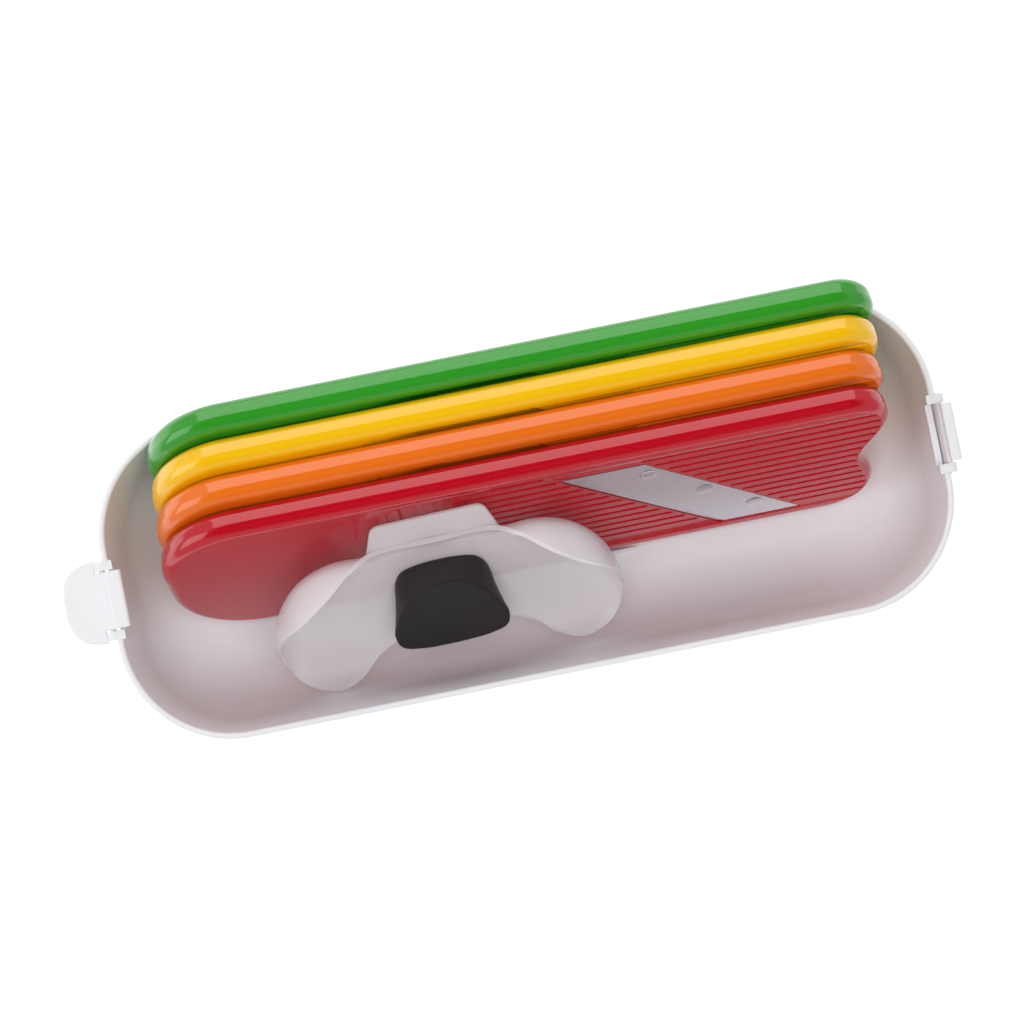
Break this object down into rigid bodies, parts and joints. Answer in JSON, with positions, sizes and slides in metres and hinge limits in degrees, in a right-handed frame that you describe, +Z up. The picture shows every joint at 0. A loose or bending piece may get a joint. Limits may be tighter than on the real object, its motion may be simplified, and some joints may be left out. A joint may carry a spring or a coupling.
{
  "type": "mandoline slicer set",
  "caption": "Mandoline slicer set: colour-coded hand-held slicers with slanted steel blades leaning in a long white tub, with a clear finger guard and end latches.",
  "frame": {"origin": "centre of the tub's flat base, on the surface it stands on", "axes": "+X along the tub towards the slicers' notched ends, +Y to the rear wall the slicers lean towards, +Z up"},
  "size_m": [0.3954, 0.1434, 0.0948],
  "materials": {
    "white_plastic": "smooth gloss moulded plastic",
    "red_plastic": "high gloss moulded plastic",
    "orange_plastic": "high gloss moulded plastic",
    "yellow_plastic": "high gloss moulded plastic",
    "green_plastic": "high gloss moulded plastic",
    "steel": "fine ground stainless steel",
    "frosted_plastic": "frosted clear moulded plastic",
    "black_soft_touch": "soft-touch matt coating"
  },
  "bodies": {
    "tub": {"tub": "white_plastic"},
    "latch_left": {"latch_left": "white_plastic"},
    "latch_right": {"latch_right": "white_plastic"},
    "red_slicer": {"red_body": "red_plastic", "red_blade": "steel", "red_rivet_1": "steel", "red_rivet_2": "steel", "red_rivet_3": "steel"},
    "orange_slicer": {"orange_body": "orange_plastic", "orange_blade": "steel", "orange_rivet_1": "steel", "orange_rivet_2": "steel", "orange_rivet_3": "steel"},
    "yellow_slicer": {"yellow_body": "yellow_plastic", "yellow_blade": "steel", "yellow_rivet_1": "steel", "yellow_rivet_2": "steel", "yellow_rivet_3": "steel"},
    "green_slicer": {"green_body": "green_plastic", "green_blade": "steel", "green_rivet_1": "steel", "green_rivet_2": "steel", "green_rivet_3": "steel"},
    "guard": {"guard_shell": "frosted_plastic", "guard_knob": "black_soft_touch"}
  },
  "joints": [
    {"name": "latch_left_hinge", "type": "hinge", "parent": "tub", "child": "latch_left", "pos_m": [-0.186, 0, 0.0574], "axis": [0, 1, 0], "range_deg": [-90, 8]},
    {"name": "latch_right_hinge", "type": "hinge", "parent": "tub", "child": "latch_right", "pos_m": [0.186, 0, 0.0574], "axis": [0, -1, 0], "range_deg": [0, 98]},
    {"name": "red_lift", "type": "slide", "parent": "tub", "child": "red_slicer", "axis": [0, 0.421, 0.907], "range_m": [0, 0.1]},
    {"name": "orange_lift", "type": "slide", "parent": "tub", "child": "orange_slicer", "axis": [0, 0.421, 0.907], "range_m": [0, 0.1]},
    {"name": "yellow_lift", "type": "slide", "parent": "tub", "child": "yellow_slicer", "axis": [0, 0.421, 0.907], "range_m": [0, 0.1]},
    {"name": "green_lift", "type": "slide", "parent": "tub", "child": "green_slicer", "axis": [0, 0.421, 0.907], "range_m": [0, 0.1]},
    {"name": "guard_lift", "type": "slide", "parent": "tub", "child": "guard", "axis": [0, 0, 1], "range_m": [0, 0.09]}
  ]
}
